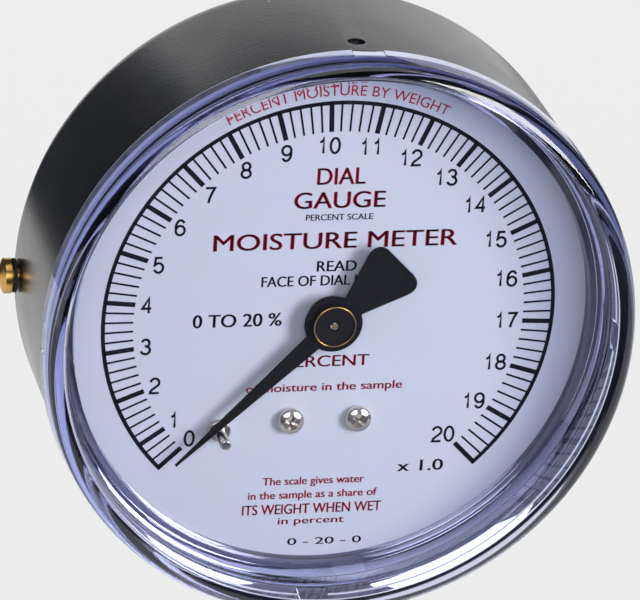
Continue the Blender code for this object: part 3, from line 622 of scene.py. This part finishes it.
# (words, centre x, centre z, height, width)
redLines = [("DIAL", 0.4, 25.8, 3.0, 8.2), ("GAUGE", 0.4, 21.5, 3.0, 15.6),
            ("MOISTURE METER", 0.2, 14.2, 3.0, 42.0),
            ("PERCENT", 0.0, -8.0, 2.1, 14.6), ("of moisture in the sample", -0.2, -13.0, 2.0, 27.2),
            ("The scale gives water", -1.0, -30.6, 1.9, 17.8),
            ("in the sample as a share of", -1.0, -33.2, 1.9, 22.6),
            ("ITS WEIGHT WHEN WET", -1.0, -35.7, 1.9, 24.4), ("in percent", -1.0, -38.2, 1.6, 11.6)]
blackLines = [("PERCENT SCALE", 0.5, 18.4, 1.1, 11.5), ("READ", 0.6, 9.5, 1.9, 6.8),
              ("FACE OF DIAL UPRIGHT", 0.8, 6.9, 1.9, 26.0), ("0 TO 20 %", -16.0, 0.0, 2.4, 15.2),
              ("x 1.0", 17.7, -28.3, 2.1, 8.0), ("0 - 20 - 0", 1.6, -42.0, 1.3, 13.0)]


inkSpread = 0.028  # how far each copy of a line is moved aside, as a share of its height


def makeWords():
    # each line is laid twice, a little to either side, which gives its strokes a printed weight
    both = (-inkSpread, inkSpread)
    reds = [printWords("redWords", w, inkRed, x + h * s, z, h, wide)
            for w, x, z, h, wide in redLines for s in both]
    blacks = [printWords("blackWords", w, inkBlack, x + h * s, z, h, wide)
              for w, x, z, h, wide in blackLines for s in both]
    # one line bent along the top: across becomes an angle and up becomes a radius
    curved, points = lettering("redWords", "PERCENT MOISTURE BY WEIGHT", inkRed)
    low, high = points.min(0), points.max(0)
    share = (points[:, 0] - low[0]) / (high - low)[0]
    turn = np.radians(-28.5 + (26.0 + 28.5) * share)
    radius = 40.2 + 1.85 * (points[:, 1] - low[1]) / (high - low)[1]
    lift = np.where(points[:, 2] > 0, 1.0, -1.0) * scale["ink"]
    curved.data.vertices.foreach_set("co", onDial(radius * np.sin(turn), radius * np.cos(turn), lift).ravel())
    curved.data.update()
    for words in (joined("redPrint", reds + [curved]), joined("blackPrint", blacks)):
        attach(words, "case_body")


makeNumerals()
makeWords()
print("dial printed")

# the pointer, its hub and the end of its shaft

pointer = {"rest": -134.4, "tip": 36.2, "tail": 15.5, "hub": 5.0, "low": 2.5, "high": 3.0, "edge": 0.07,
           "armRoot": 1.55, "armTip": 0.17, "tailWide": 5.35}


def makePointer():
    p = pointer
    # half the width at each distance along the pointer, the tail being negative
    along = np.concatenate([-p["tail"] + 1.9 * (1 - np.cos(np.linspace(0, math.pi / 2, 14))),
                            np.linspace(-13.3, -p["hub"] - 0.4, 16), np.linspace(-p["hub"], p["hub"], 41),
                            np.linspace(p["hub"] + 0.4, p["tip"], 40)])
    tailSide = np.interp(along, [-13.6, -12.6, -5.0, 0.0], [p["tailWide"], p["tailWide"] - 0.15, 2.25, 1.2])
    corner = np.clip((-along - p["tail"] + 1.9) / 1.9, 0, 1)
    tailSide = np.where(along < -13.6, 3.3 + 2.05 * np.sqrt(1 - corner**2), tailSide)
    armSide = np.interp(along, [0, p["hub"], p["tip"]], [0, p["armRoot"], p["armTip"]])
    disc = np.sqrt(np.clip(p["hub"] ** 2 - along**2, 0, None))
    half = np.maximum(np.where(along < 0, tailSide, armSide), disc)
    # a flat section with softened edges, carried along the pointer
    edge = p["edge"]
    side = np.array([-1, -1, -1, -1, 1, 1, 1, 1])
    inset = edge * np.array([1, 0, 0, 1, 1, 0, 0, 1])
    height = np.array([p["low"], p["low"] + edge, p["high"] - edge, p["high"]])[[0, 1, 2, 3, 3, 2, 1, 0]]
    across = side * np.maximum(half[:, None] - inset, 0.02)
    turn = math.radians(p["rest"])
    x = along[:, None] * math.sin(turn) + across * math.cos(turn)
    z = along[:, None] * math.cos(turn) - across * math.sin(turn)
    faces = gridFaces(len(along), 8, False, True)
    blade = newPiece("pointerBlade", onDial(x, z, height), faces, pointerPaint, 30)
    work = bmesh.new()
    work.from_mesh(blade.data)
    bmesh.ops.holes_fill(work, edges=[e for e in work.edges if e.is_boundary], sides=0)
    bmesh.ops.recalc_face_normals(work, faces=work.faces)
    work.to_mesh(blade.data)
    work.free()
    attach(blade, "pointer_body")
    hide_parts("pointer")


def makeHub():
    cap = turnedPiece("hubCap", [(1.0, 3.75, 0.05), (3.3, 3.75, 0.08), (3.42, 4.05, 0.08), (3.68, 4.05, 0.1),
                                 (3.75, 3.1, 0.05), (2.2, 3.1), (2.2, 0.8, 0.1), (1.0, 0.8)], hubPaint, 96)
    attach(cap, "pointer_body")
    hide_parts("pointer_hub")
    line = turnedPiece("hubLine", [(3.44, 4.02), (3.58, 4.07, 0.01), (3.66, 4.02)], brassTurned, 96)
    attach(line, "pointer_body")
    point = turnedPiece("shaftEnd", [(0, 4.1), (0.35, 4.08, 0.1), (0.5, 3.9), (0.5, 3.6), (0, 3.6)],
                        brassTurned, 32)
    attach(point, "pointer_body")


makePointer()
makeHub()

# the screws on the dial, the stop pin and the side screw

crossScrew = {"x": 5.9, "z": -18.7, "radius": 2.3}


def makeDialScrews():
    for side, x, turn in (("left", -crossScrew["x"], 20), ("right", crossScrew["x"], 38)):
        z, r = crossScrew["z"], crossScrew["radius"]
        corners = [(0, 1.55), (1.35, 1.75, 0.3), (r, 1.35, 0.55), (r, 0.35, 0.1),
                   (1.1, 0.35), (1.1, -6.0), (0, -6.0)]
        screw = turnedPiece("dialScrew_" + side, corners, nickelPlate, 64, x, z)
        for quarter in (0, 90):
            cutAway(screw, boxPiece("recess", (2.5, 0.52, 1.5), (x, z, 1.75), turn + quarter))
        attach(screw, "case_body")
        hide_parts("dial_screw_" + side)


def makeStopPin():
    low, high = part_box("stop_pin")
    x, z = 0.5 * (low.x + high.x) / mm, 0.5 * (low.z + high.z) / mm
    corners = [(0, 6.7), (0.95, 6.7, 0.28), (0.95, 1.2, 0.15), (2.0, 1.2, 0.3), (2.0, 0.3, 0.1),
               (0.95, 0.3), (0.95, -1.9), (0, -1.9)]
    pin = turnedPiece("stopPin", corners, nickelPlate, 48, x, z)
    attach(pin, "case_body")
    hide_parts("stop_pin")


def makeSideScrew():
    low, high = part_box("side_screw")
    # turned along the dial's own axis first, then laid over to point out of the case's left side
    corners = [(0, 2.6), (0.5, 2.5, 0.15), (2.95, 1.4, 0.1), (3.1, 1.25, 0.1), (3.1, 0, 0.15),
               (2.0, 0), (2.0, -5.2), (0, -5.2)]
    head = turnedPiece("sideScrew", corners, brassTurned, 72)
    head.data.transform(Matrix.Translation((0, -dialFace, 0)))
    head.data.transform(Matrix.Rotation(math.radians(-90), 4, "Z"))
    seat = (low.x + 2.6 * mm, 0.5 * (low.y + high.y), 0.5 * (low.z + high.z))
    head.data.transform(Matrix.Translation(seat))
    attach(head, "case_body")
    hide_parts("side_screw")


makeDialScrews()
makeStopPin()
makeSideScrew()
print("pointer and screws made")

# the socket: boss, flange and arm inside the case, then the hexagon and the threaded stem behind it

stem = {"boss": 12.0, "bossTop": -15.0, "step": -24.5, "flange": 18.0, "neck": 8.0,
        "hexTop": -33.0, "hexFoot": -43.0, "flats": 17.0, "seat": -44.8, "length": 12.0,
        "crest": 6.58, "root": 5.72, "pitch": 1.337, "inlet": 2.0,
        "armAngle": 195.0, "armReach": 43.0, "armWide": 10.4, "armDeep": 13.4, "armMiddle": -21.8}


def makeThread():
    # crest and root rise and fall along the axis and slide round with the angle:
    # radius = root + rise x triangle wave of (height / pitch - angle / full turn), fading out at both ends
    around, along = 96, 200
    angle = np.linspace(0, 2 * math.pi, around, endpoint=False)[None, :]
    height = np.linspace(stem["seat"], stem["seat"] - stem["length"], along)[:, None]
    wave = 1 - np.abs(2 * ((height / stem["pitch"] - angle / (2 * math.pi)) % 1) - 1)
    wave = np.clip(1.35 * wave - 0.17, 0, 1)
    ends = np.minimum(stem["seat"] - height, height - stem["seat"] + stem["length"])
    radius = stem["root"] + (stem["crest"] - stem["root"]) * wave * np.clip(ends / stem["pitch"], 0, 1)
    skin = onDial(radius * np.sin(angle), radius * np.cos(angle), height)
    inlet = onDial(stem["inlet"] * np.sin(angle), stem["inlet"] * np.cos(angle), height[::-1])
    faces = gridFaces(2 * along, around, True, True)
    return newPiece("thread", np.concatenate([skin, inlet]), faces, brassTurned, 50)


def makeSocket():
    inside = case["wall"] - caseDepth + 0.3
    body = turnedPiece("socketBody", [(stem["inlet"], stem["bossTop"]), (stem["boss"], stem["bossTop"], 0.4),
                                      (stem["boss"], stem["step"], 0.3), (stem["flange"], stem["step"], 0.4),
                                      (stem["flange"], inside, 0.2), (stem["neck"], inside),
                                      (stem["neck"], stem["hexTop"] - 1),
                                      (stem["inlet"], stem["hexTop"] - 1)], brassTurned, 120)
    corner = 0.5 * stem["flats"] / math.cos(math.radians(30))
    # the hexagon is a turned six-sided prism cut by a cone at both ends, as a bar is chamfered on a lathe
    hexagon = turnedPiece("hexagon", [(stem["inlet"], stem["hexTop"]), (corner, stem["hexTop"]),
                                      (corner, stem["hexFoot"]), (stem["inlet"], stem["hexFoot"])],
                          brassTurned, 6)
    chamfer = turnedPiece("chamfer", [(corner - 0.9, stem["hexTop"]), (corner + 0.3, stem["hexTop"] - 0.8),
                                      (corner + 0.3, stem["hexFoot"] + 0.8), (corner - 0.9, stem["hexFoot"]),
                                      (corner + 4, stem["hexFoot"] - 2), (corner + 4, stem["hexTop"] + 2)],
                          brassTurned, 96)
    cutAway(hexagon, chamfer, 20)
    neck = turnedPiece("stemNeck", [(stem["inlet"], stem["hexFoot"] + 1), (stem["root"], stem["hexFoot"] + 1),
                                    (stem["root"], stem["seat"] - 1), (stem["inlet"], stem["seat"] - 1)],
                       brassTurned, 96)
    middle = 0.5 * (stem["armReach"] + 4.0)
    x, z = polar(middle, stem["armAngle"])
    size = (stem["armWide"], stem["armReach"] - 4.0, stem["armDeep"])
    arm = boxPiece("arm", size, (float(x), float(z), stem["armMiddle"]), stem["armAngle"], brassTurned)
    whole = joined("socketBrass", [body, hexagon, neck, arm, makeThread()])
    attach(whole, "case_body")
    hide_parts("socket")


tube = {"bend": 38.0, "wide": 13.0, "thick": 4.4, "middle": -21.8, "from": 204.0, "to": 444.0,
        "squareness": 0.72}


def makeTube():
    # a flattened section, wide along the gauge's axis, carried round the bend and drawn in at its closed end
    along, around = 160, 32
    turn = np.radians(np.linspace(tube["from"], tube["to"], along))[:, None]
    lap = np.linspace(0, 2 * math.pi, around, endpoint=False)[None, :]
    across = 0.5 * tube["thick"] * np.sign(np.cos(lap)) * np.abs(np.cos(lap)) ** tube["squareness"]
    deep = 0.5 * tube["wide"] * np.sign(np.sin(lap)) * np.abs(np.sin(lap)) ** tube["squareness"]
    radius = tube["bend"] + across
    skin = onDial(radius * np.sin(turn), radius * np.cos(turn), tube["middle"] + deep)
    ends = onDial(tube["bend"] * np.sin(turn[[0, -1]]), tube["bend"] * np.cos(turn[[0, -1]]),
                  np.full((2, around), tube["middle"]))
    grid = np.concatenate([ends[:1], skin, ends[1:]])
    coil = newPiece("elasticTube", grid, gridFaces(along + 2, around, False, True), bronzeDrawn, 50)
    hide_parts("bourdon_tube")
    # the bend's root and tip points are worked out, but nothing uses them
    rootX, rootZ = polar(tube["bend"], tube["from"])
    tipX, tipZ = polar(tube["bend"], tube["to"])
    onDial(rootX, rootZ, tube["middle"]).tolist()
    onDial(tipX, tipZ, tube["middle"]).tolist()
    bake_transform(coil)


makeSocket()
makeTube()
print("socket and tube made")

# finishes of the CAD nodes that stay in view

nodeLooks = {
    dialEnamel: ["dial"],
    sealRubber: ["lens_seal", "side_washer"],
    fibreRed: ["stem_washer"],
    zincSteel: ["back_screw_1", "back_screw_2", "back_screw_3", "side_nut", "movement_screw_1",
                "movement_screw_2", "plate_screw_1", "plate_screw_2", "plate_screw_3", "restrictor"],
    polishedSteel: ["pinion_arbor", "sector_arbor", "link", "link_pin_sector", "link_pin_tip"],
    bronzeDrawn: ["hairspring"],
    brassPlate: ["front_plate", "back_plate", "pillar_1", "pillar_2", "pillar_3", "sector_gear", "tube_tip",
                 "hairspring_collet", "hairspring_stud", "dial_post_left", "dial_post_right"],
}
for look, names in nodeLooks.items():
    for name in names:
        cadNodes[name].data.materials.clear()
        cadNodes[name].data.materials.append(look)
print("CAD nodes finished")

# the floor, the lights and the camera

studio = {"floorDrop": 0.30, "floorGlow": 0.825, "left": -2.5, "right": 2.5, "front": -0.56, "back": 1.25,
          "pale": 0.84, "roomColour": (0.5, 0.55, 0.7, 1), "roomGlow": 0.09,
          "lens": 268.73, "cameraAcross": -0.17964, "cameraAhead": 0.72029, "cameraUp": 0.32108,
          "cameraTurn": (66.741, -3.468, -12.388)}


def makeFloor():
    mesh = bpy.data.meshes.new("floor")
    # the sheet ends short of where the pane would mirror it, and short of the case's dark upper left
    corners = [(studio["left"], studio["front"]), (studio["right"], studio["front"]),
               (studio["right"], studio["back"]), (studio["left"], studio["back"])]
    mesh.from_pydata([(x, y, caseLow.z - studio["floorDrop"]) for x, y in corners], [], [(0, 1, 2, 3)])
    floor = bpy.data.objects.new("floor", mesh)
    bpy.context.scene.collection.objects.link(floor)
    look, tree, shader, place = startLook("floorPaper", Roughness=0.9, Emission_Strength=studio["floorGlow"],
                                          Emission_Color=(1.0, 1.0, 1.0, 1))
    grain = addNode(tree, "ShaderNodeTexNoise", None, Vector=place, Scale=40.0, Detail=3.0)
    tone = blendColours(tree, grain.outputs[0], (0.008, 0.008, 0.008, 1), (0.010, 0.010, 0.010, 1))
    tree.links.new(tone, shader.inputs["Base Color"])
    mesh.materials.append(look)
    floor.visible_diffuse = False


def makePanel(name, place, size, power):
    # a soft rectangular light aimed at the middle of the dial
    lamp = bpy.data.lights.new(name, "AREA")
    lamp.shape = "RECTANGLE"
    lamp.size, lamp.size_y = size
    lamp.energy = power
    panel = bpy.data.objects.new(name, lamp)
    bpy.context.scene.collection.objects.link(panel)
    panel.location = place
    panel.rotation_mode = "QUATERNION"
    panel.rotation_quaternion = (Vector((0, dialFace, 0)) - Vector(place)).to_track_quat("-Z", "Y")
    return panel


def makeWorld():
    world = bpy.data.worlds.new("studioAir")
    bpy.context.scene.world = world
    world.use_nodes = True
    tree = world.node_tree
    tree.nodes.clear()
    path = tree.nodes.new("ShaderNodeLightPath")
    pale = studio["pale"]
    seen = addNode(tree, "ShaderNodeBackground", None, Color=(pale, pale, pale, 1), Strength=0.99)
    around = addNode(tree, "ShaderNodeBackground", None, Color=studio["roomColour"],
                     Strength=studio["roomGlow"])
    mix = tree.nodes.new("ShaderNodeMixShader")
    tree.links.new(path.outputs["Is Camera Ray"], mix.inputs[0])
    tree.links.new(around.outputs[0], mix.inputs[1])
    tree.links.new(seen.outputs[0], mix.inputs[2])
    tree.links.new(mix.outputs[0], tree.nodes.new("ShaderNodeOutputWorld").inputs["Surface"])


def makeCamera():
    lens = bpy.data.cameras.new("camera")
    lens.lens = studio["lens"]
    lens.clip_end = 30
    camera = bpy.data.objects.new("camera", lens)
    bpy.context.scene.collection.objects.link(camera)
    camera.location = (studio["cameraAcross"], dialFace - studio["cameraAhead"], studio["cameraUp"])
    camera.rotation_euler = Euler([math.radians(a) for a in studio["cameraTurn"]])
    bpy.context.scene.camera = camera


makeFloor()
makeWorld()
makePanel("keyPanel", (0.75, -0.95, 0.30), (0.5, 0.7), 14.0)
makePanel("fillPanel", (-0.35, -1.5, 0.62), (0.8, 0.8), 9.0)
makePanel("backPanel", (0.24, 1.5, 0.20), (1.36, 1.1), 4.2)
makePanel("leftPanel", (-1.2, -0.5, -0.35), (1.0, 1.0), 3.4)
makePanel("topPanel", (0.25, -0.35, 1.3), (1.0, 0.7), 3.0)
makeCamera()
bpy.context.scene.view_settings.view_transform = "Standard"
print("studio made")
